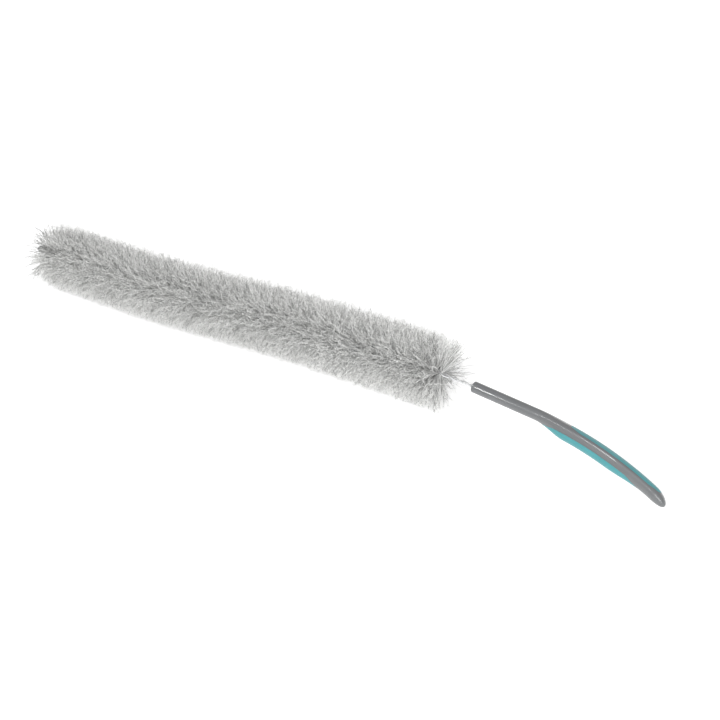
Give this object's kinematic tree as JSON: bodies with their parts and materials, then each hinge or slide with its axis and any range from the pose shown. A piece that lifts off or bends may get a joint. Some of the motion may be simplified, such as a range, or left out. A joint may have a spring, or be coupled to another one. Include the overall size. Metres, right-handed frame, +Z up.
{
  "type": "radiator brush",
  "caption": "Long flexible radiator brush: soft bristle head on a twisted wire stem, and a slim curved handle with soft grip pads.",
  "frame": {"origin": "centre of the bounding box, on the surface that the brush lies on", "axes": "+X along the bristle head's axis towards the handle, +Z up from the surface, +Y to the left seen from the tip; the handle bends towards -Y and down until its butt rests"},
  "size_m": [0.7624, 0.081, 0.0746],
  "materials": {
    "bristle": "soft translucent filament",
    "wire": "galvanised",
    "cap": "matt",
    "handle": "satin",
    "pad": "soft matt"
  },
  "bodies": {
    "root": {"bristles": "bristle", "stem_wire_1": "wire", "stem_wire_2": "wire", "tip_cap": "cap", "handle_core": "handle", "lower_grip_pad": "pad", "upper_grip_pad": "pad"}
  },
  "joints": []
}
